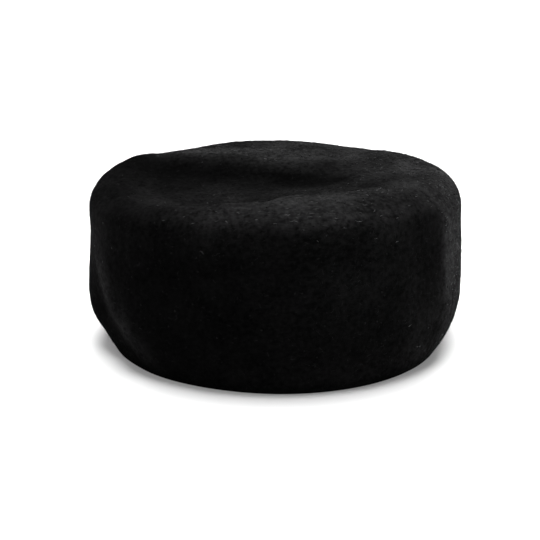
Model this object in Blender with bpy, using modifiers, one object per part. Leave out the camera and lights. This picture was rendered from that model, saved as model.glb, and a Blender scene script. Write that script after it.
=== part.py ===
"""A black felt chechia: a low, soft cap of one hollow piece, standing on its rim.

Metres, +Z up. The rim rests on the plane z = 0 round the origin, and the side seen
in the photograph faces -Y. Run it with blender --background --python part.py, or
from Blender's text editor.
"""

import math
from collections import namedtuple

import bpy

MM = 0.001

# The cap before it is dented
HEIGHT = 94 * MM
SHOULDER_RADIUS = 18 * MM
TURNED_RADIUS = 100 * MM
WALL = 2.5 * MM
HEM = 4 * MM  # felt below the rim, trimmed off flat

# How finely it is turned
SIDES = 72
WALL_RINGS = 16
SHOULDER_RINGS = 8
CROWN_RINGS = 16

# The wall's oval at each height: half_width runs left to right, half_depth front to rear
Section = namedtuple("Section", "height half_width half_depth")
SECTIONS = (
    Section(0 * MM, 90.2 * MM, 94.6 * MM),
    Section(9 * MM, 96.2 * MM, 96.6 * MM),
    Section(26 * MM, 101.8 * MM, 99.5 * MM),
    Section(48 * MM, 102.2 * MM, 100.0 * MM),
    Section(76 * MM, 101.0 * MM, 100.0 * MM),
)

# Dents and ridges of the crown, each along a line seen from above. The rise fades
# over `right` and `left` of the way from start to end, and is negative in a dent.
Crease = namedtuple("Crease", "start end right left rise")
CREASES = (
    Crease((-60 * MM, -50 * MM), (-30 * MM, -57 * MM), 17 * MM, 50 * MM, -9.0 * MM),
    Crease((-60 * MM, 10 * MM), (16 * MM, -10 * MM), 32 * MM, 17 * MM, -5.5 * MM),
    Crease((-22 * MM, -82 * MM), (4 * MM, -70 * MM), 13 * MM, 12 * MM, 2.4 * MM),
    Crease((12 * MM, -64 * MM), (42 * MM, -60 * MM), 16 * MM, 9 * MM, 1.7 * MM),
    Crease((54 * MM, -46 * MM), (68 * MM, -20 * MM), 12 * MM, 10 * MM, 0.8 * MM),
    Crease((-52 * MM, 39 * MM), (12 * MM, 17 * MM), 12 * MM, 20 * MM, 3.2 * MM),
    Crease((-66 * MM, 54 * MM), (-56 * MM, 86 * MM), 20 * MM, 16 * MM, -2.8 * MM),
    Crease((52 * MM, 64 * MM), (34 * MM, 92 * MM), 15 * MM, 16 * MM, -1.8 * MM),
    Crease((-86 * MM, 10 * MM), (-78 * MM, 40 * MM), 12 * MM, 13 * MM, 1.6 * MM),
)
CREASE_FADE_FROM = HEIGHT - 2.4 * SHOULDER_RADIUS  # the wall below this takes no crease
CREASE_FADE_TO = HEIGHT - 0.25 * SHOULDER_RADIUS

# Hollows and bulges of the wall. The azimuth is in degrees from +X towards +Y, at the
# given height, and leans by so many degrees for each metre above it. Push is outwards.
Fold = namedtuple("Fold", "azimuth height lean half_angle half_rise push")
FOLDS = (
    Fold(203.0, 32 * MM, -470.0, 7.5, 24 * MM, -3.0 * MM),
    Fold(252.0, 0 * MM, 0.0, 26.0, 22 * MM, -1.8 * MM),
    Fold(192.0, 20 * MM, 0.0, 12.0, 14 * MM, 1.2 * MM),
    Fold(203.0, 10 * MM, 0.0, 12.0, 7 * MM, -2.0 * MM),
    Fold(-34.0, 14 * MM, 0.0, 34.0, 26 * MM, 1.0 * MM),
    Fold(-27.0, 46 * MM, 60.0, 6.0, 26 * MM, 1.2 * MM),
)

FELT_COLOUR = (0.006, 0.006, 0.0065, 1.0)
FELT_ROUGHNESS = 0.95
FELT_SHEEN = 0.35


def clear_scene():
    for obj in list(bpy.data.objects):
        bpy.data.objects.remove(obj, do_unlink=True)


def new_collection(name):
    collection = bpy.data.collections.new(name)
    bpy.context.scene.collection.children.link(collection)
    return collection


def felt_material():
    material = bpy.data.materials.new("black_felt")
    material.use_nodes = True
    shader = material.node_tree.nodes["Principled BSDF"]
    shader.inputs["Base Color"].default_value = FELT_COLOUR
    shader.inputs["Roughness"].default_value = FELT_ROUGHNESS
    shader.inputs["Metallic"].default_value = 0.0
    shader.inputs["Sheen Weight"].default_value = FELT_SHEEN
    material.diffuse_color = FELT_COLOUR
    return material


def bell(distance):
    return math.exp(-distance * distance)


def fade(start, end, value):
    """0 up to start, 1 from end on, and an even S between them."""
    share = min(max((value - start) / (end - start), 0.0), 1.0)
    return share * share * (3 - 2 * share)


def section_sizes(height):
    """The wall's half width and half depth, on a smooth curve through SECTIONS."""
    last = len(SECTIONS) - 1
    height = min(max(height, SECTIONS[0].height), SECTIONS[last].height)
    row = max(i for i in range(last) if SECTIONS[i].height <= height)
    below, above = SECTIONS[row], SECTIONS[row + 1]
    before = SECTIONS[max(row - 1, 0)]
    after = SECTIONS[min(row + 2, last)]
    run = above.height - below.height
    share = (height - below.height) / run
    sizes = []
    for field in ("half_width", "half_depth"):
        low, high = getattr(below, field), getattr(above, field)
        slope_low = (high - getattr(before, field)) / (above.height - before.height)
        slope_high = (getattr(after, field) - low) / (after.height - below.height)
        sizes.append(
            low * (1 + 2 * share) * (1 - share) ** 2
            + slope_low * run * share * (1 - share) ** 2
            + high * share**2 * (3 - 2 * share)
            + slope_high * run * share**2 * (share - 1)
        )
    return sizes


def oval(x, y, z):
    """A point of the turned form, drawn out to the oval of its height."""
    inset = min(TURNED_RADIUS - math.hypot(x, y), SHOULDER_RADIUS)
    turned = TURNED_RADIUS - inset
    half_width, half_depth = section_sizes(z)
    return x * (half_width - inset) / turned, y * (half_depth - inset) / turned


def crown_rise(x, y):
    total = 0.0
    for crease in CREASES:
        (x0, y0), (x1, y1) = crease.start, crease.end
        length = math.hypot(x1 - x0, y1 - y0)
        along_x, along_y = (x1 - x0) / length, (y1 - y0) / length
        along = (x - x0) * along_x + (y - y0) * along_y
        left_of_line = (y - y0) * along_x - (x - x0) * along_y
        past_end = along - min(max(along, 0.0), length)
        width = crease.left if left_of_line > 0 else crease.right
        end_width = (crease.left + crease.right) / 2
        total += crease.rise * bell(left_of_line / width) * bell(past_end / end_width)
    return total


def wall_push(x, y, z):
    azimuth = math.degrees(math.atan2(y, x))
    total = 0.0
    for fold in FOLDS:
        centre = fold.azimuth + fold.lean * (z - fold.height)
        away = (azimuth - centre + 180) % 360 - 180
        total += (
            fold.push
            * bell(away / fold.half_angle)
            * bell((z - fold.height) / fold.half_rise)
        )
    return total


def shaped(x, y, z):
    """Where a point of the turned form lies on the worn, dented cap."""
    x, y = oval(x, y, z)
    radius = math.hypot(x, y)
    if radius > 0 and z < HEIGHT:
        push = wall_push(x, y, z)
        x, y = x * (1 + push / radius), y * (1 + push / radius)
    return x, y, z + fade(CREASE_FADE_FROM, CREASE_FADE_TO, z) * crown_rise(x, y)


def half_profile():
    """The turned form's outline from the hem up, over the shoulder and in to the axis."""
    points = []
    wall_top = HEIGHT - SHOULDER_RADIUS
    for i in range(WALL_RINGS):
        points.append((TURNED_RADIUS, -HEM + (wall_top + HEM) * i / WALL_RINGS))
    for i in range(SHOULDER_RINGS):
        angle = math.pi / 2 * i / SHOULDER_RINGS
        points.append(
            (
                TURNED_RADIUS - SHOULDER_RADIUS * (1 - math.cos(angle)),
                wall_top + SHOULDER_RADIUS * math.sin(angle),
            )
        )
    crown = TURNED_RADIUS - SHOULDER_RADIUS
    for i in range(CROWN_RINGS + 1):
        points.append((crown * (1 - i / CROWN_RINGS), HEIGHT))
    return points


def turned_mesh():
    """The undented cap as a thin turned surface."""
    points = half_profile()
    mesh = bpy.data.meshes.new("turned_cap")
    edges = [(i, i + 1) for i in range(len(points) - 1)]
    mesh.from_pydata([(r, 0, z) for r, z in points], edges, [])
    profile = bpy.data.objects.new("turned_cap", mesh)
    bpy.context.scene.collection.objects.link(profile)
    screw = profile.modifiers.new("turn", "SCREW")
    screw.axis = "Z"
    screw.steps = screw.render_steps = SIDES
    screw.use_merge_vertices = True
    screw.merge_threshold = 0.0001
    screw.use_normal_flip = True
    graph = bpy.context.evaluated_depsgraph_get()
    turned = bpy.data.meshes.new_from_object(profile.evaluated_get(graph))
    bpy.data.objects.remove(profile, do_unlink=True)
    return turned


def floor_cutter(collection):
    """A box whose top is the floor: it trims the hem flat, so the rim lies on z = 0."""
    side, depth = 3 * TURNED_RADIUS, 4 * HEM
    bpy.ops.mesh.primitive_cube_add(size=1, location=(0, 0, -depth / 2))
    cutter = bpy.context.object
    cutter.name = "floor_cutter"
    cutter.scale = (side, side, depth)
    for other in cutter.users_collection:
        other.objects.unlink(cutter)
    collection.objects.link(cutter)
    cutter.hide_render = True
    cutter.display_type = "WIRE"
    return cutter


def felt_cap(collection, cutter):
    mesh = turned_mesh()
    mesh.name = "felt_cap"
    for vertex in mesh.vertices:
        vertex.co = shaped(*vertex.co)
    mesh.shade_smooth()
    mesh.materials.clear()
    mesh.materials.append(felt_material())
    cap = bpy.data.objects.new("felt_cap", mesh)
    collection.objects.link(cap)
    felt = cap.modifiers.new("felt_thickness", "SOLIDIFY")
    felt.thickness = WALL
    felt.offset = -1
    felt.use_even_offset = True
    trim = cap.modifiers.new("flat_rim", "BOOLEAN")
    trim.operation = "DIFFERENCE"
    trim.solver = "EXACT"
    trim.object = cutter
    return cap


def main():
    clear_scene()
    cap_parts = new_collection("chechia")
    cutters = new_collection("cutters")
    felt_cap(cap_parts, floor_cutter(cutters))


main()
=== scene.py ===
"""The looks of the black felt chechia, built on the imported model.

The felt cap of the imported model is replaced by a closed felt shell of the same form,
with the felt's uneven surface, its nap of short fibres and its small pills. The tables
and functions of the form are those of the part's own source.

A place on the cap is given by its azimuth, from +X towards +Y, and its distance up the
profile, which runs from the rim over the shoulder to the middle of the crown.
"""

import math
from collections import namedtuple

import bpy
import numpy as np
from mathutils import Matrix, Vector


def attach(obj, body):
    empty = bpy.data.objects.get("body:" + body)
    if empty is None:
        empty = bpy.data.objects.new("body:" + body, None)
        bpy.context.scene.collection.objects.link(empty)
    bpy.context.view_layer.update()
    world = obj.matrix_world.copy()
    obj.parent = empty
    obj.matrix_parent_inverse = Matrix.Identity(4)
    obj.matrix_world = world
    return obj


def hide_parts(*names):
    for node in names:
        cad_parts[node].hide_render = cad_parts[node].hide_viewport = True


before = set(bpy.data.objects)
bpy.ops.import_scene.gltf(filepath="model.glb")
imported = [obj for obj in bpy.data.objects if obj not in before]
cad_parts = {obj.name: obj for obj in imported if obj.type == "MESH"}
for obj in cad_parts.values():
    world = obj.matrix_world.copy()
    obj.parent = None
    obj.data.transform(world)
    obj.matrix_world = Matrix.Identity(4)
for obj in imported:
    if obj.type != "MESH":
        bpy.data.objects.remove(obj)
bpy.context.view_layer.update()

MM = 0.001
TINY = 1e-9

# The cap before it is dented
HEIGHT = 94 * MM
SHOULDER_RADIUS = 18 * MM
TURNED_RADIUS = 100 * MM
WALL = 2.5 * MM

# The lengths of the profile's parts
WALL_TOP = HEIGHT - SHOULDER_RADIUS
SHOULDER = SHOULDER_RADIUS * math.pi / 2
CROWN = TURNED_RADIUS - SHOULDER_RADIUS
PROFILE = WALL_TOP + SHOULDER + CROWN

# The wall's oval at each height: half_width runs left to right, half_depth front to rear
Section = namedtuple("Section", "height half_width half_depth")
SECTIONS = (
    Section(0 * MM, 90.2 * MM, 94.6 * MM),
    Section(9 * MM, 96.2 * MM, 96.6 * MM),
    Section(26 * MM, 101.8 * MM, 99.5 * MM),
    Section(48 * MM, 102.2 * MM, 100.0 * MM),
    Section(76 * MM, 101.0 * MM, 100.0 * MM),
)

# Dents and ridges of the crown, each along a line seen from above. The rise fades
# over `right` and `left` of the way from start to end, and is negative in a dent.
Crease = namedtuple("Crease", "start end right left rise")
CREASES = (
    Crease((-60 * MM, -50 * MM), (-30 * MM, -57 * MM), 17 * MM, 50 * MM, -9.0 * MM),
    Crease((-60 * MM, 10 * MM), (16 * MM, -10 * MM), 32 * MM, 17 * MM, -5.5 * MM),
    Crease((-22 * MM, -82 * MM), (4 * MM, -70 * MM), 13 * MM, 12 * MM, 2.4 * MM),
    Crease((12 * MM, -64 * MM), (42 * MM, -60 * MM), 16 * MM, 9 * MM, 1.7 * MM),
    Crease((54 * MM, -46 * MM), (68 * MM, -20 * MM), 12 * MM, 10 * MM, 0.8 * MM),
    Crease((-52 * MM, 39 * MM), (12 * MM, 17 * MM), 12 * MM, 20 * MM, 3.2 * MM),
    Crease((-66 * MM, 54 * MM), (-56 * MM, 86 * MM), 20 * MM, 16 * MM, -2.8 * MM),
    Crease((52 * MM, 64 * MM), (34 * MM, 92 * MM), 15 * MM, 16 * MM, -1.8 * MM),
    Crease((-86 * MM, 10 * MM), (-78 * MM, 40 * MM), 12 * MM, 13 * MM, 1.6 * MM),
)
CREASE_FADE_FROM = HEIGHT - 2.4 * SHOULDER_RADIUS  # the wall below this takes no crease
CREASE_FADE_TO = HEIGHT - 0.25 * SHOULDER_RADIUS

# Hollows and bulges of the wall. The azimuth is in degrees, at the given height, and
# leans by so many degrees for each metre above it. Push is outwards.
Fold = namedtuple("Fold", "azimuth height lean half_angle half_rise push")
FOLDS = (
    Fold(203.0, 32 * MM, -470.0, 7.5, 24 * MM, -3.0 * MM),
    Fold(252.0, 0 * MM, 0.0, 26.0, 22 * MM, -1.8 * MM),
    Fold(192.0, 20 * MM, 0.0, 12.0, 14 * MM, 1.2 * MM),
    Fold(203.0, 10 * MM, 0.0, 12.0, 7 * MM, -2.0 * MM),
    Fold(-34.0, 14 * MM, 0.0, 34.0, 26 * MM, 1.0 * MM),
    Fold(-27.0, 46 * MM, 60.0, 6.0, 26 * MM, 1.2 * MM),
)

# How finely the shell is made. Columns halve at these distances from the crown's middle,
# where the first ring is a single point.
COLUMNS = 432
ROW = 0.93 * MM
INNER_ROW = 1.9 * MM
HALVINGS = (40 * MM, 20 * MM, 9 * MM)
CROWN_POINT = PROFILE - 0.001 * MM

# The rim's round edge: the share of the way from the outside in, and of RIM_ROUND's height
RIM_ROUND = 0.9 * MM
RIM_STEPS = ((0.04, 0.5), (0.16, 0.14), (0.33, 0.0), (0.66, 0.0), (0.84, 0.14), (0.96, 0.5))

# The wall's thickness is laid off level below the first distance, and square to the
# felt above the second. A level offset is at most 1 / LEAST_REACH times the thickness.
LEVEL_UP_TO = 30 * MM
SQUARE_FROM = 62 * MM
LEAST_REACH = 0.3

# The felt's unevenness: cubes of this size, and how far it stands in or out. Outside, the
# rim has RIM_RELIEF of it, and all of it shows above RIM_CALM. Inside, it grows from
# nothing at the rim to INSIDE_RELIEF.
Grain = namedtuple("Grain", "cell depth seed")
GRAINS = (
    Grain(26 * MM, 0.45 * MM, 11),
    Grain(7 * MM, 0.22 * MM, 12),
    Grain(2.6 * MM, 0.15 * MM, 13),
)
LATTICE = 96
LATTICE_TILT = ((0.80, 0.36, -0.48), (-0.60, 0.48, -0.64), (0.0, 0.80, 0.60))
RIM_CALM = 6 * MM
RIM_RELIEF = 0.2
INSIDE_RELIEF = 0.7

# How far the felt is made greyer apart from the marks below, partly from rubbing and partly
# as painted light and shade: a lighter edge and crown top, partly a painted highlight, the
# crown lighter towards the front and the right side lit as painted light, and the left rear
# in painted shade. Each share runs from nothing at `start` to its amount at `end`, along the
# distance up the profile, x, y or the crown's rise. The inside is rubbed evenly.
Share = namedtuple("Share", "start end amount")
# The shoulder's edge is lighter, partly from rubbing and partly a painted highlight
EDGE_BY_DISTANCE = Share(81 * MM, 92 * MM, 0.70)
WALL_TOP_BY_DISTANCE = Share(66 * MM, 86 * MM, 0.16)
EDGE_LOST_BY_DISTANCE = Share(112 * MM, 132 * MM, 1.0)
CROWN_BY_DISTANCE = Share(90 * MM, 104 * MM, 1.0)
# The crown is lighter on its high places and darker in its dents, partly from rubbing and partly
# painted light and shade
CROWN_BY_RISE = Share(-6.5 * MM, 0.5 * MM, 0.54)
# Painted light: the crown lighter towards the front
CROWN_LIGHT_BY_Y = Share(42 * MM, -42 * MM, 0.38)
# Painted light: the right side lit and the far left in shade
FAR_LEFT_IN_SHADE = 0.14
LIT_SIDE_BY_X = Share(-84 * MM, -22 * MM, 0.86)
# Painted shade at the crown's left rear
LEFT_REAR_SHADE_BY_X = Share(20 * MM, -25 * MM, 0.92)
LEFT_REAR_SHADE_BY_Y = Share(-12 * MM, 18 * MM, 1.0)
LEFT_REAR_SHADE_BY_DISTANCE = Share(76 * MM, 92 * MM, 1.0)
PATCH_CELL = 16 * MM
PATCH_SEED = 31
PATCH_MIDDLE = 0.85
PATCH_SWING = 0.3
INSIDE_WEAR = 0.1

# Lines of the crown, seen from above, made greyer or darker: painted highlights along the
# crest, behind it, on the front ridge and on the lit right, and painted shade in the dent.
# The amount adds to the felt's greying, and a negative amount darkens. It fades over `right`
# and `left` of the way from start to end, and over `right` past the ends.
CrownRubAndLight = namedtuple("CrownRubAndLight", "start end right left amount")
CROWN_RUBS_AND_LIGHT = (
    # painted highlight along the crest
    CrownRubAndLight((-60 * MM, 46 * MM), (14 * MM, 22 * MM), 10 * MM, 18 * MM, 1.15),
    # painted light on the crown behind the crest
    CrownRubAndLight((-40 * MM, 50 * MM), (40 * MM, 34 * MM), 14 * MM, 60 * MM, 0.44),
    # painted highlight on the front ridge
    CrownRubAndLight((4 * MM, -73 * MM), (46 * MM, -60 * MM), 8 * MM, 6 * MM, 0.3),
    # painted light on the flat right of the crown
    CrownRubAndLight((64 * MM, -4 * MM), (82 * MM, 14 * MM), 9 * MM, 12 * MM, 0.45),
    # darker at the crown's front right
    CrownRubAndLight((54 * MM, -42 * MM), (80 * MM, -18 * MM), 10 * MM, 14 * MM, -0.36),
    # painted shade at the dent's tip
    CrownRubAndLight((6 * MM, -4 * MM), (32 * MM, -14 * MM), 9 * MM, 8 * MM, -0.26),
    # painted shade on the dent's far wall
    CrownRubAndLight((2 * MM, 17 * MM), (24 * MM, 10 * MM), 9 * MM, 10 * MM, -0.28),
    # painted shade on the dent's floor
    CrownRubAndLight((-10 * MM, -10 * MM), (14 * MM, -18 * MM), 7 * MM, 7 * MM, -0.13),
    # darker at the front lip's back edge
    CrownRubAndLight((-25 * MM, -83 * MM), (-11 * MM, -83 * MM), 4 * MM, 8 * MM, -0.3),
)

# Places of the wall and the shoulder made greyer or darker. Most are painted light and shade:
# the lit right side, painted highlights on the left fold and the left side, the front wall
# painted lighter towards the right, and darker places on the shoulder; the one at the back is
# rubbing. The azimuth is in degrees, at the given distance up the profile, and leans by so many
# degrees for each metre above it. The amount fades over `before` degrees towards lower
# azimuths, over `after` towards higher ones, and over `half_rise` up and down.
WallRubAndLight = namedtuple("WallRubAndLight", "azimuth distance lean before after half_rise amount")
WALL_RUBS_AND_LIGHT = (
    # painted light: the right side, lit by the lamp from the right
    WallRubAndLight(-27.6, 54 * MM, -20.0, 4.2, 52.0, 34 * MM, 1.9),
    # painted highlight on the ridge of the left fold
    WallRubAndLight(212.4, 36 * MM, -470.0, 3.5, 6.5, 23 * MM, 0.75),
    # painted highlight: the lit strip on the left side
    WallRubAndLight(196.0, 62 * MM, 0.0, 55.0, 18.0, 24 * MM, 0.55),
    # painted light: the front wall lighter towards the right
    WallRubAndLight(-58.0, 56 * MM, 0.0, 44.0, 36.0, 44 * MM, 0.15),
    # darker on the shoulder
    WallRubAndLight(-37.0, 96 * MM, 0.0, 25.0, 11.0, 12 * MM, -0.4),
    WallRubAndLight(-16.0, 96 * MM, 0.0, 11.0, 11.0, 11 * MM, -0.4),
    WallRubAndLight(-77.0, 97 * MM, 0.0, 12.0, 12.0, 14 * MM, -0.24),
    # lighter low on the front wall
    WallRubAndLight(-30.0, 10 * MM, 0.0, 18.0, 14.0, 32 * MM, 0.34),
    WallRubAndLight(-72.0, 4 * MM, 0.0, 48.0, 48.0, 12 * MM, 0.13),
    # greyer at the back from rubbing
    WallRubAndLight(95.0, 54 * MM, 0.0, 60.0, 50.0, 40 * MM, 0.14),
)

# The felt's colours: black for fresh felt and for painted shade, grey for worn felt and for
# painted light, each from dark to light along a tone that starts at the given value
FeltColours = namedtuple("FeltColours", "tone_from dark light")
FRESH_AND_SHADED = FeltColours(0.55, (0.00052, 0.00052, 0.00053), (0.0023, 0.0023, 0.00235))
WORN_AND_LIT = FeltColours(0.6, (0.0052, 0.0052, 0.0053), (0.036, 0.036, 0.0364))

# The felt's matted fibres: noise drawn out along each of three directions
MATTING_TURNS = ((0.3, 0.5, 0.8), (1.2, -0.4, 2.1), (-0.7, 1.1, -0.9))
MATTING_SCALE = (300, 1900, 1900)
LUMP_SCALE = 420
PATCH_SCALE = 60

# What the felt's height and its tone are made of
MATTING_IN_HEIGHT = 0.7
LUMPS_IN_HEIGHT = 0.8
HEIGHT_IN_TONE = 0.7
PATCHES_IN_TONE = 0.35
BUMP_HEIGHT = 0.25 * MM

# The fibres of the nap. Lift is in degrees off the felt. A fibre is black where its
# draw is under `soft_from`, grey from `grey_from` on, and soft black between; the felt's
# greying from rubbing and painted light adds to the draw. Pale fibres lie mostly where the
# felt is worn and where light is painted, and mostly round the cap.
Fibres = namedtuple(
    "Fibres", "name count shortest longest lowest highest width soft_from grey_from pale seed"
)
NAP = (
    Fibres("felt_nap_a", 60000, 0.5 * MM, 1.3 * MM, 4, 32, 0.07 * MM, 0.60, 0.85, False, 21),
    Fibres("felt_nap_b", 60000, 0.5 * MM, 1.3 * MM, 4, 32, 0.07 * MM, 0.60, 0.85, False, 22),
    Fibres("felt_strays", 20000, 1.4 * MM, 3.6 * MM, 3, 28, 0.10 * MM, 0.30, 0.62, False, 23),
    Fibres("felt_flecks", 1600, 1.2 * MM, 3.2 * MM, 2, 10, 0.26 * MM, 0, 0, True, 25),
)

# The fibres' materials, in the order of their slots
FIBRE_COLOURS = {
    "fibre_black": (0.002, 0.002, 0.0021),
    "fibre_soft_black": (0.006, 0.006, 0.0062),
    "fibre_grey": (0.018, 0.018, 0.0184),
    "fibre_pale": (0.075, 0.075, 0.0765),
}
SOFT_BLACK = 1
PALE = 3

# How the fibres are placed and bent
DRAW_FROM = -0.3
DRAW_TO = 0.7
DRAW_FOR_WEAR_AND_LIGHT = 0.6
PALE_TRIES = 12  # places tried for each pale fibre
PALE_TURN = 0.45  # how much a pale fibre may leave the way round the cap
OFF_AXIS = 0.1 * MM  # keeps that way from vanishing at the cap's axis
SWERVE = 50  # degrees that a fibre may turn at its middle, either way
DROOP_FROM = -0.3  # the lift of a fibre's outer half, as a share of its inner half's
DROOP_TO = 0.7
ROOT_DEPTH = 0.06 * MM
MIDDLE_WIDTH = 0.8  # of the root's
FLOOR_GAP = 0.05 * MM  # no fibre or pill hangs lower than this

# The pills: half sizes in millimetres, and how they are drawn out, made uneven and
# pressed flat
PILLS = 700
PILL_SEED = 24
PILL_SMALLEST = 0.16
PILL_LARGEST = 0.42
PILL_NARROWEST = 0.7
PILL_WIDEST = 1.4
PILL_UNEVENNESS = 0.16
PILL_FLATNESS = 0.6
PILL_LIFT = 0.08 * MM

# Places start this high, so that no fibre grows from the rim's underside
LOWEST_PLACE = 1.5 * MM

FLOOR_SIZE = 40
FLOOR_DROP = 0.1 * MM
FLOOR_GLOW = 0.16

# Soft lamps, with directions in degrees: azimuth, then elevation, and how wide they are.
# An EXCLUDE lamp leaves the floor out, and an INCLUDE lamp lights only the floor.
Lamp = namedtuple("Lamp", "name azimuth elevation angle strength floor")
LAMPS = (
    Lamp("overhead", 90, 88, 90, 3.2, "EXCLUDE"),
    Lamp("right", 15, 48, 40, 2.3, "EXCLUDE"),
    Lamp("floor_overhead", 90, 82, 42, 5.6, "INCLUDE"),
    Lamp("rear_right", 66, 28, 16, 1.3, None),
    Lamp("rear_left", 124, 30, 16, 0.4, None),
)
WORLD_STRENGTH = 0.22

# The camera stands in front of CAMERA_CENTRE, above it, and looks at CAMERA_AIM
LENS = 83.87
SENSOR = 36
CAMERA_ELEVATION = 15.8
CAMERA_DISTANCE = 0.70
CAMERA_CENTRE = (0, 0, 47.5 * MM)
CAMERA_AIM = (-2.9 * MM, -2.9 * MM, 37.3 * MM)


def bell(distance):
    return np.exp(-distance * distance)


def fade(start, end, value):
    """0 up to start, 1 from end on, and an even S between them."""
    share = np.clip((value - start) / (end - start), 0.0, 1.0)
    return share * share * (3 - 2 * share)


def unit(vectors):
    return vectors / np.linalg.norm(vectors, axis=-1, keepdims=True)


def degrees_between(azimuth, centre):
    """How far the azimuth is past the centre, from -180 to 180."""
    return (azimuth - centre + 180) % 360 - 180


def section_sizes(height):
    """The wall's half widths and half depths, on a smooth curve through SECTIONS."""
    heights = np.array([section.height for section in SECTIONS])
    last = len(heights) - 1
    height = np.clip(height, heights[0], heights[last])
    row = np.clip(np.searchsorted(heights, height, side="right") - 1, 0, last - 1)
    rows = np.arange(last + 1)
    before = np.maximum(rows - 1, 0)
    after = np.minimum(rows + 1, last)
    run = heights[row + 1] - heights[row]
    share = (height - heights[row]) / run
    sizes = []
    for field in ("half_width", "half_depth"):
        size = np.array([getattr(section, field) for section in SECTIONS])
        slope = (size[after] - size[before]) / (heights[after] - heights[before])
        sizes.append(
            size[row] * (1 + 2 * share) * (1 - share) ** 2
            + slope[row] * run * share * (1 - share) ** 2
            + size[row + 1] * share**2 * (3 - 2 * share)
            + slope[row + 1] * run * share**2 * (share - 1)
        )
    return sizes


def along_line(line, x, y):
    """How far each place is left of the line, and how far past its nearer end."""
    (x0, y0), (x1, y1) = line.start, line.end
    length = math.hypot(x1 - x0, y1 - y0)
    along_x = (x1 - x0) / length
    along_y = (y1 - y0) / length
    along = (x - x0) * along_x + (y - y0) * along_y
    left_of_line = (y - y0) * along_x - (x - x0) * along_y
    return left_of_line, along - np.clip(along, 0.0, length)


def crown_rise(x, y):
    total = np.zeros_like(x)
    for crease in CREASES:
        left_of_line, past_end = along_line(crease, x, y)
        width = np.where(left_of_line > 0, crease.left, crease.right)
        end_width = (crease.left + crease.right) / 2
        total += crease.rise * bell(left_of_line / width) * bell(past_end / end_width)
    return total


def wall_push(x, y, z):
    azimuth = np.degrees(np.arctan2(y, x))
    total = np.zeros_like(x)
    for fold in FOLDS:
        away = degrees_between(azimuth, fold.azimuth + fold.lean * (z - fold.height))
        around = bell(away / fold.half_angle)
        total += fold.push * around * bell((z - fold.height) / fold.half_rise)
    return total


def outer_form(distance, azimuth):
    """Points of the cap's even outside."""
    angle = np.clip((distance - WALL_TOP) / SHOULDER_RADIUS, 0, math.pi / 2)
    inset = SHOULDER_RADIUS * (1 - np.cos(angle))
    share = 1 - np.clip(distance - WALL_TOP - SHOULDER, 0, CROWN) / CROWN
    z = np.minimum(distance, WALL_TOP) + SHOULDER_RADIUS * np.sin(angle)
    half_width, half_depth = section_sizes(z)
    x = share * np.cos(azimuth) * (half_width - inset)
    y = share * np.sin(azimuth) * (half_depth - inset)
    radius = np.maximum(np.hypot(x, y), TINY)
    push = np.where(distance < WALL_TOP + SHOULDER, wall_push(x, y, z), 0.0)
    x = x * (1 + push / radius)
    y = y * (1 + push / radius)
    z = z + fade(CREASE_FADE_FROM, CREASE_FADE_TO, z) * crown_rise(x, y)
    return np.stack((x, y, z), axis=-1)


def form_normals(distance, azimuth):
    step = 0.2 * MM
    turn = 0.002
    up = outer_form(distance + step, azimuth) - outer_form(distance - step, azimuth)
    around = outer_form(distance, azimuth + turn) - outer_form(distance, azimuth - turn)
    return unit(np.cross(around, up))


def lattice_noise(points, cell, seed):
    """Smooth noise from -1 to 1, with one random value at each corner of a cubic lattice."""
    values = np.random.default_rng(seed).uniform(-1, 1, (LATTICE,) * 3)
    places = points @ np.array(LATTICE_TILT) / cell
    base = np.floor(places).astype(int)
    share = places - base
    share = share * share * (3 - 2 * share)
    total = np.zeros(len(points))
    for corner in np.ndindex(2, 2, 2):
        weight = np.prod(np.where(corner, share, 1 - share), axis=1)
        i, j, k = ((base + corner) % LATTICE).T
        total += weight * values[i, j, k]
    return total


def felt_relief(points):
    total = np.zeros(len(points))
    for grain in GRAINS:
        total += grain.depth * lattice_noise(points, grain.cell, grain.seed)
    return total


def felt_surface(distance, azimuth):
    """Points of the uneven outside, and the form's normals there."""
    points = outer_form(distance, azimuth)
    normals = form_normals(distance, azimuth)
    relief = felt_relief(points) * (fade(0.0, RIM_CALM, distance) * (1 - RIM_RELIEF) + RIM_RELIEF)
    return points + normals * relief[:, None], normals


def inner_surface(distance, azimuth):
    """Points of the inside: level with the outside on the wall, and square to it on the crown."""
    points = outer_form(distance, azimuth)
    normals = form_normals(distance, azimuth)
    flat = normals * (1, 1, 0)
    reach = np.linalg.norm(flat, axis=1, keepdims=True)
    level = flat / np.maximum(reach, LEAST_REACH) ** 2
    blend = fade(LEVEL_UP_TO, SQUARE_FROM, distance)[:, None]
    inside = points - WALL * (level * (1 - blend) + normals * blend)
    relief = felt_relief(inside) * (fade(0.0, RIM_CALM, distance) * INSIDE_RELIEF)
    return inside + normals * relief[:, None]


def share_at(share, value):
    return share.amount * fade(share.start, share.end, value)


def crown_rubbing_and_light(x, y):
    total = np.zeros_like(x)
    for mark in CROWN_RUBS_AND_LIGHT:
        left_of_line, past_end = along_line(mark, x, y)
        width = np.where(left_of_line > 0, mark.left, mark.right)
        total += mark.amount * bell(left_of_line / width) * bell(past_end / mark.right)
    return total


def wall_rubbing_and_light(distance, azimuth):
    total = np.zeros_like(distance)
    for mark in WALL_RUBS_AND_LIGHT:
        above = distance - mark.distance
        away = degrees_between(np.degrees(azimuth), mark.azimuth + mark.lean * above)
        around = bell(away / np.where(away < 0, mark.before, mark.after))
        total += mark.amount * around * bell(above / mark.half_rise)
    return total


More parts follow.
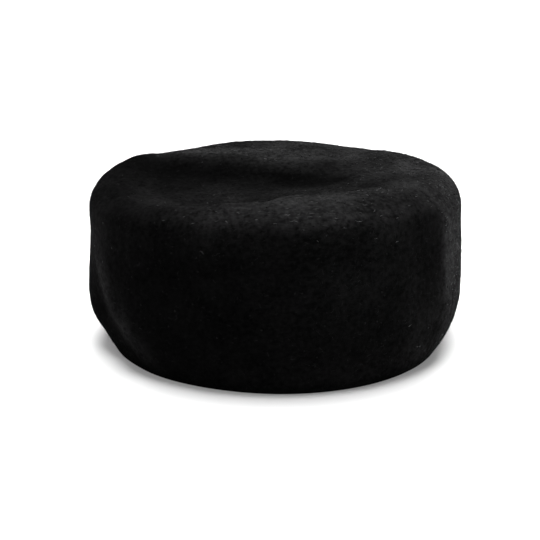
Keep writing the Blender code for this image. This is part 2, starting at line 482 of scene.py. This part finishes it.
def wear_and_light_at(distance, azimuth):
    """0 for black nap, where it is fresh and where shade is painted; 1 for grey nap, where it is
    rubbed and where light is painted.
    """
    points = outer_form(distance, azimuth)
    x, y = points[:, 0], points[:, 1]
    edge = share_at(EDGE_BY_DISTANCE, distance) + share_at(WALL_TOP_BY_DISTANCE, distance)
    edge = edge * (1 - share_at(EDGE_LOST_BY_DISTANCE, distance))
    on_crown = share_at(CROWN_BY_DISTANCE, distance)
    # The crown is lighter on its high places, partly from rubbing and partly a painted highlight,
    # and lighter towards the front as painted light
    crown = np.maximum(share_at(CROWN_BY_RISE, crown_rise(x, y)), share_at(CROWN_LIGHT_BY_Y, y))
    # Painted light: the right side lit and the far left in shade
    side = FAR_LEFT_IN_SHADE + share_at(LIT_SIDE_BY_X, x)
    # Painted shade at the crown's left rear
    left_rear_shade = share_at(LEFT_REAR_SHADE_BY_X, x) * share_at(LEFT_REAR_SHADE_BY_Y, y)
    left_rear_shade = left_rear_shade * share_at(LEFT_REAR_SHADE_BY_DISTANCE, distance)
    all_over = np.maximum(edge, crown * on_crown) * side * (1 - left_rear_shade)
    # Rubbing, painted highlights and painted shade from the two tables
    rubbing_light_and_shade = crown_rubbing_and_light(x, y) * on_crown + wall_rubbing_and_light(distance, azimuth)
    patches = PATCH_MIDDLE + PATCH_SWING * lattice_noise(points, PATCH_CELL, PATCH_SEED)
    return np.clip((all_over + rubbing_light_and_shade) * patches, 0, 1)


class Shell:
    """Rings of points joined into one closed surface, from the crown's middle round the rim."""

    def __init__(self):
        self.points = []
        self.wear_and_light = []
        self.faces = []
        self.count = 0
        self.last = None

    def ring(self, points, wear_and_light):
        """Adds a ring, and joins it to the last one. Its greying, from rubbing and painted light
        and shade, is one value or one a point.
        """
        size = len(points)
        start = self.count
        if self.last is not None:
            self.join(*self.last, start, size)
        self.points.append(points)
        self.wear_and_light.append(np.broadcast_to(wear_and_light, size))
        self.count += size
        self.last = (start, size)

    def join(self, start, size, next_start, next_size):
        """Joins two rings of one size, a ring and one point, or a ring and one twice its size."""
        if size == next_size:
            for i in range(size):
                j = (i + 1) % size
                self.faces.append((start + i, next_start + i, next_start + j, start + j))
        elif size == 1:
            for i in range(next_size):
                self.faces.append((start, next_start + i, next_start + (i + 1) % next_size))
        elif next_size == 1:
            for i in range(size):
                self.faces.append((next_start, start + (i + 1) % size, start + i))
        elif size < next_size:
            for i in range(size):
                j = (i + 1) % size
                middle = next_start + 2 * i + 1
                self.faces.append((start + i, next_start + 2 * i, middle))
                self.faces.append((start + i, middle, start + j))
                self.faces.append((start + j, middle, next_start + (2 * i + 2) % next_size))
        else:
            for i in range(next_size):
                j = (i + 1) % next_size
                middle = start + 2 * i + 1
                self.faces.append((next_start + i, middle, start + 2 * i))
                self.faces.append((next_start + i, next_start + j, middle))
                self.faces.append((next_start + j, start + (2 * i + 2) % size, middle))


def ring_plan(row, columns):
    """The rings from the crown's middle down to the rim: their distances and columns."""
    rows = int(PROFILE / row)
    plan = [(CROWN_POINT, 1)]
    for i in range(1, rows + 1):
        distance = RIM_ROUND + (PROFILE - RIM_ROUND) * (1 - i / rows)
        halvings = sum(PROFILE - distance < limit for limit in HALVINGS)
        plan.append((distance, columns >> halvings))
    return plan


def ring_places(distance, columns):
    azimuth = np.arange(columns) * (2 * math.pi / columns)
    return np.full(columns, distance), azimuth


def shell_mesh():
    shell = Shell()
    for distance, columns in ring_plan(ROW, COLUMNS):
        places = ring_places(distance, columns)
        shell.ring(felt_surface(*places)[0], wear_and_light_at(*places))
    outside = shell.points[-1]
    inside = inner_surface(*ring_places(RIM_ROUND, COLUMNS))
    for inwards, height in RIM_STEPS:
        points = outside + (inside - outside) * inwards
        points[:, 2] = points[:, 2] * height
        shell.ring(points, INSIDE_WEAR)
    for distance, columns in reversed(ring_plan(INNER_ROW, COLUMNS // 2)):
        shell.ring(inner_surface(*ring_places(distance, columns)), INSIDE_WEAR)
    mesh = bpy.data.meshes.new("felt_shell")
    mesh.from_pydata(np.concatenate(shell.points).tolist(), [], shell.faces)
    # The felt's rubbing together with its painted light and shade, for the material
    wear_and_light = mesh.attributes.new("wear_and_light", "FLOAT", "POINT")
    wear_and_light.data.foreach_set("value", np.concatenate(shell.wear_and_light).astype(np.float32))
    mesh.shade_smooth()
    return mesh


def scattered(count, rng):
    """Places on the outside, evenly by area: distances up the profile and azimuths."""
    distances = []
    found = 0
    while found < count:
        distance = rng.uniform(LOWEST_PLACE, PROFILE, count)
        from_axis = np.minimum(PROFILE - distance, TURNED_RADIUS)
        kept = distance[rng.uniform(0, TURNED_RADIUS, count) < from_axis]
        distances.append(kept)
        found += len(kept)
    return np.concatenate(distances)[:count], rng.uniform(0, 2 * math.pi, count)


def tangents(normals, rng):
    """A random direction along the surface at each point, and the one square to it."""
    first = unit(np.cross(normals, rng.normal(size=normals.shape)))
    return first, np.cross(normals, first)


def fibre_places(kind, rng):
    """Places of one kind of fibre: all over, or the pale ones mostly where it is worn and where
    light is painted.
    """
    if not kind.pale:
        return scattered(kind.count, rng)
    distance, azimuth = scattered(kind.count * PALE_TRIES, rng)
    kept = rng.uniform(0, 1, len(distance)) < wear_and_light_at(distance, azimuth) ** 2
    return distance[kept][: kind.count], azimuth[kept][: kind.count]


def fibre_mesh(kind):
    """Short bent fibres: each a flat strip of one quad, with a triangle for its tip."""
    rng = np.random.default_rng(kind.seed)
    distance, azimuth = fibre_places(kind, rng)
    count = len(distance)
    points, normals = felt_surface(distance, azimuth)
    along, across = tangents(normals, rng)
    if kind.pale:
        round_cap = unit(np.cross((0, 0, 1), points) + OFF_AXIS)
        along = unit(round_cap + along * PALE_TURN)
        across = np.cross(normals, along)
    length = rng.uniform(kind.shortest, kind.longest, (count, 1))
    lift = np.radians(rng.uniform(kind.lowest, kind.highest, (count, 1)))
    droop = lift * rng.uniform(DROOP_FROM, DROOP_TO, (count, 1))
    swerve = np.radians(rng.uniform(-SWERVE, SWERVE, (count, 1)))
    first = along * np.cos(lift) + normals * np.sin(lift)
    turned = along * np.cos(swerve) + across * np.sin(swerve)
    second = turned * np.cos(droop) + normals * np.sin(droop)
    root = points - normals * ROOT_DEPTH
    middle = root + first * length * 0.5
    tip = middle + second * length * 0.5
    side = unit(np.cross(first, rng.normal(size=normals.shape))) * kind.width / 2
    near_tip = side * MIDDLE_WIDTH
    corners = (root - side, root + side, middle + near_tip, middle - near_tip, tip)
    strips = np.stack(corners, axis=1)
    strips[:, :, 2] = np.maximum(strips[:, :, 2], FLOOR_GAP)
    starts = np.arange(count)[:, None] * len(corners)
    quads = starts + np.array((0, 1, 2, 3))
    tips = starts + np.array((3, 2, 4))
    mesh = bpy.data.meshes.new(kind.name)
    mesh.from_pydata(strips.reshape(-1, 3).tolist(), [], quads.tolist() + tips.tolist())
    # Fibres come out greyer where the felt is worn and where light is painted
    draw = rng.uniform(DRAW_FROM, DRAW_TO, count) + wear_and_light_at(distance, azimuth) * DRAW_FOR_WEAR_AND_LIGHT
    if kind.pale:
        colour = np.full(count, PALE)
    else:
        colour = np.searchsorted((kind.soft_from, kind.grey_from), draw)
    both_faces = np.concatenate((colour, colour)).astype(np.int32)
    mesh.polygons.foreach_set("material_index", both_faces)
    mesh.shade_smooth()
    return mesh


def ball_shape():
    """The corners and faces of a small round ball."""
    bpy.ops.mesh.primitive_ico_sphere_add(subdivisions=2, radius=1)
    ball = bpy.context.object
    corners = np.array([vertex.co for vertex in ball.data.vertices])
    faces = np.array([face.vertices for face in ball.data.polygons])
    bpy.data.objects.remove(ball, do_unlink=True)
    return corners, faces


def pill_mesh():
    """Little knots of matted fibre, lying half sunk in the felt."""
    rng = np.random.default_rng(PILL_SEED)
    distance, azimuth = scattered(PILLS, rng)
    points, normals = felt_surface(distance, azimuth)
    along, across = tangents(normals, rng)
    corners, faces = ball_shape()
    sizes = rng.uniform(PILL_SMALLEST, PILL_LARGEST, (PILLS, 1, 1)) * MM
    sizes = sizes * rng.uniform(PILL_NARROWEST, PILL_WIDEST, (PILLS, 1, 3))
    lumps = corners * (1 + rng.normal(0, PILL_UNEVENNESS, (PILLS, len(corners), 1))) * sizes
    turned = (
        lumps[:, :, 0:1] * along[:, None]
        + lumps[:, :, 1:2] * across[:, None]
        + lumps[:, :, 2:3] * normals[:, None] * PILL_FLATNESS
    )
    placed = points[:, None] + turned + normals[:, None] * PILL_LIFT
    placed[:, :, 2] = np.maximum(placed[:, :, 2], FLOOR_GAP)
    mesh = bpy.data.meshes.new("felt_pills")
    every = (np.arange(PILLS)[:, None, None] * len(corners) + faces).reshape(-1, 3)
    mesh.from_pydata(placed.reshape(-1, 3).tolist(), [], every.tolist())
    mesh.shade_smooth()
    return mesh


def new_material(name, roughness, specular):
    material = bpy.data.materials.new(name)
    material.use_nodes = True
    shader = material.node_tree.nodes["Principled BSDF"]
    shader.inputs["Roughness"].default_value = roughness
    shader.inputs["Specular IOR Level"].default_value = specular
    return material, shader


def noise(tree, vector, scale, detail):
    node = tree.nodes.new("ShaderNodeTexNoise")
    node.inputs["Scale"].default_value = scale
    node.inputs["Detail"].default_value = detail
    tree.links.new(vector, node.inputs["Vector"])
    return node


def matted_noise(tree, coordinates, turn):
    """Noise drawn out along one direction, as fibres lie."""
    mapping = tree.nodes.new("ShaderNodeMapping")
    mapping.inputs["Rotation"].default_value = turn
    mapping.inputs["Scale"].default_value = MATTING_SCALE
    tree.links.new(coordinates, mapping.inputs["Vector"])
    node = noise(tree, mapping.outputs["Vector"], 1.0, 3.0)
    node.inputs["Roughness"].default_value = 0.6
    node.inputs["Distortion"].default_value = 0.6
    return node.outputs["Fac"]


def combined(tree, operation, first, second):
    """A Math node's result, of two outputs or an output and a number."""
    node = tree.nodes.new("ShaderNodeMath")
    node.operation = operation
    for socket, value in zip(node.inputs, (first, second)):
        if isinstance(value, (int, float)):
            socket.default_value = value
        else:
            tree.links.new(value, socket)
    return node.outputs["Value"]


def weighted_sum(tree, first, first_weight, second, second_weight):
    first_part = combined(tree, "MULTIPLY", first, first_weight)
    second_part = combined(tree, "MULTIPLY", second, second_weight)
    return combined(tree, "ADD", first_part, second_part)


def colours_along(tree, tone, colours):
    node = tree.nodes.new("ShaderNodeValToRGB")
    dark, light = node.color_ramp.elements
    dark.position = colours.tone_from
    dark.color = (*colours.dark, 1)
    light.color = (*colours.light, 1)
    tree.links.new(tone, node.inputs["Fac"])
    return node.outputs["Color"]


def felt_material():
    """Matted black felt: greyer where the shell's attribute marks rubbing and painted light,
    black where it marks fresh felt and painted shade.
    """
    material, shader = new_material("black_wool_felt", 0.95, 0.005)
    shader.inputs["Sheen Weight"].default_value = 0.001
    shader.inputs["Sheen Roughness"].default_value = 0.5
    tree = material.node_tree
    coordinates = tree.nodes.new("ShaderNodeTexCoord").outputs["Object"]
    matted = matted_noise(tree, coordinates, MATTING_TURNS[0])
    for turn in MATTING_TURNS[1:]:
        matted = combined(tree, "MAXIMUM", matted, matted_noise(tree, coordinates, turn))
    lumps = noise(tree, coordinates, LUMP_SCALE, 3.0).outputs["Fac"]
    patches = noise(tree, coordinates, PATCH_SCALE, 2.0).outputs["Fac"]
    height = weighted_sum(tree, matted, MATTING_IN_HEIGHT, lumps, LUMPS_IN_HEIGHT)
    tone = weighted_sum(tree, height, HEIGHT_IN_TONE, patches, PATCHES_IN_TONE)
    wear_and_light = tree.nodes.new("ShaderNodeAttribute")
    wear_and_light.attribute_name = "wear_and_light"
    # Black and grey felt mixed by rubbing and by painted light and shade
    mix = tree.nodes.new("ShaderNodeMix")
    mix.data_type = "RGBA"
    tree.links.new(wear_and_light.outputs["Fac"], mix.inputs["Factor"])
    tree.links.new(colours_along(tree, tone, FRESH_AND_SHADED), mix.inputs["A"])
    tree.links.new(colours_along(tree, tone, WORN_AND_LIT), mix.inputs["B"])
    tree.links.new(mix.outputs["Result"], shader.inputs["Base Color"])
    bump = tree.nodes.new("ShaderNodeBump")
    bump.inputs["Strength"].default_value = 0.7
    bump.inputs["Distance"].default_value = BUMP_HEIGHT
    tree.links.new(height, bump.inputs["Height"])
    tree.links.new(bump.outputs["Normal"], shader.inputs["Normal"])
    return material


def fibre_material(name, colour):
    material, shader = new_material(name, 0.85, 0.02)
    shader.inputs["Base Color"].default_value = (*colour, 1)
    return material


def add_piece(name, mesh, materials):
    for material in materials:
        mesh.materials.append(material)
    piece = bpy.data.objects.new(name, mesh)
    bpy.context.scene.collection.objects.link(piece)
    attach(piece, "root")
    return piece


def build_cap():
    shell = add_piece("felt_shell", shell_mesh(), [felt_material()])
    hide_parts("felt_cap")
    fibres = [fibre_material(name, colour) for name, colour in FIBRE_COLOURS.items()]
    for kind in NAP:
        add_piece(kind.name, fibre_mesh(kind), fibres)
    add_piece("felt_pills", pill_mesh(), [fibres[SOFT_BLACK]])


def add_floor():
    bpy.ops.mesh.primitive_plane_add(size=FLOOR_SIZE, location=(0, 0, -FLOOR_DROP))
    floor = bpy.context.object
    floor.name = "floor"
    material, shader = new_material("pale_floor", 0.9, 0.1)
    shader.inputs["Base Color"].default_value = (0.8, 0.8, 0.8, 1)
    shader.inputs["Emission Color"].default_value = (1, 1, 1, 1)
    shader.inputs["Emission Strength"].default_value = FLOOR_GLOW
    floor.data.materials.append(material)
    return floor


def direction(azimuth, elevation):
    a = math.radians(azimuth)
    e = math.radians(elevation)
    return Vector((math.cos(a) * math.cos(e), math.sin(a) * math.cos(e), math.sin(e)))


def add_lamp(lamp, floor):
    light = bpy.data.lights.new(lamp.name, "SUN")
    light.angle = math.radians(lamp.angle)
    light.energy = lamp.strength
    holder = bpy.data.objects.new(lamp.name, light)
    bpy.context.scene.collection.objects.link(holder)
    towards = direction(lamp.azimuth, lamp.elevation)
    holder.rotation_euler = towards.to_track_quat("Z", "Y").to_euler()
    if lamp.floor is not None:
        linked = bpy.data.collections.new(lamp.name + "_floor")
        linked.objects.link(floor)
        linked.collection_objects[0].light_linking.link_state = lamp.floor
        holder.light_linking.receiver_collection = linked


def light_scene(floor):
    for lamp in LAMPS:
        add_lamp(lamp, floor)
    world = bpy.data.worlds.new("studio")
    world.use_nodes = True
    background = world.node_tree.nodes["Background"]
    background.inputs["Color"].default_value = (1, 1, 1, 1)
    background.inputs["Strength"].default_value = WORLD_STRENGTH
    bpy.context.scene.world = world
    view = bpy.context.scene.view_settings
    view.view_transform = "Standard"
    view.look = "None"
    view.exposure = 0
    view.gamma = 1


def add_camera():
    camera = bpy.data.cameras.new("camera")
    camera.lens = LENS
    camera.sensor_width = SENSOR
    camera.clip_start = 0.01
    camera.clip_end = 100
    holder = bpy.data.objects.new("camera", camera)
    bpy.context.scene.collection.objects.link(holder)
    from_front = direction(-90, CAMERA_ELEVATION)
    holder.location = Vector(CAMERA_CENTRE) + CAMERA_DISTANCE * from_front
    towards = Vector(CAMERA_AIM) - holder.location
    holder.rotation_euler = towards.to_track_quat("-Z", "Y").to_euler()
    bpy.context.scene.camera = holder


add_camera()
build_cap()
light_scene(add_floor())
